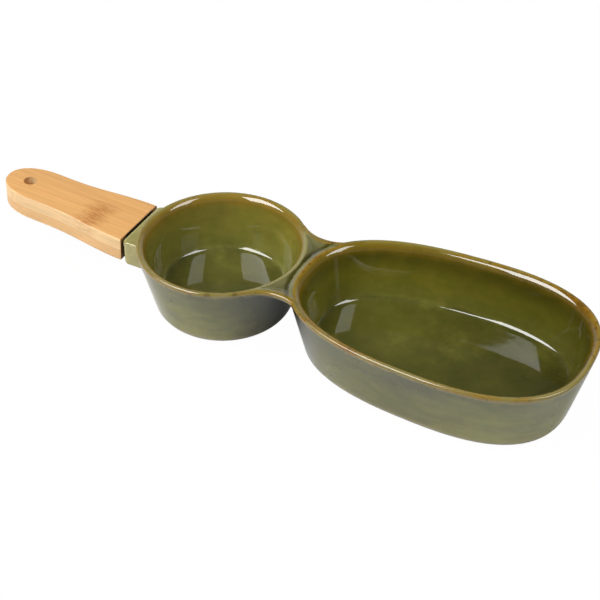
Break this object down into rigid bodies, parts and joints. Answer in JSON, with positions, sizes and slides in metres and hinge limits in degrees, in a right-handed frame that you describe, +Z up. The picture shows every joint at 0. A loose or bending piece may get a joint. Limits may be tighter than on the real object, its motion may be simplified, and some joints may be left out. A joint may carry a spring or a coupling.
{
  "type": "olive dish",
  "caption": "Glazed stoneware serving dish with a small round pit bowl and a large oval olive bowl bridged at the rim, on a flat bamboo handle with a hanging hole.",
  "frame": {"origin": "on the plane that the dish stands on, in the middle of its overall length and width", "axes": "+X from the handle to the large bowl, +Y across the dish, +Z up"},
  "size_m": [0.3344, 0.099, 0.04],
  "materials": {
    "glazed_stoneware": "glossy olive reactive glaze, brown where it breaks on the rims",
    "upper_bamboo": "satin oiled bamboo",
    "lower_bamboo": "satin oiled bamboo",
    "cement": "matt cured resin"
  },
  "bodies": {
    "root": {"dish": "glazed_stoneware", "upper_near_strip": "upper_bamboo", "upper_far_strip": "upper_bamboo", "lower_near_strip": "lower_bamboo", "lower_far_strip": "lower_bamboo", "tang_cement": "cement"}
  },
  "joints": []
}
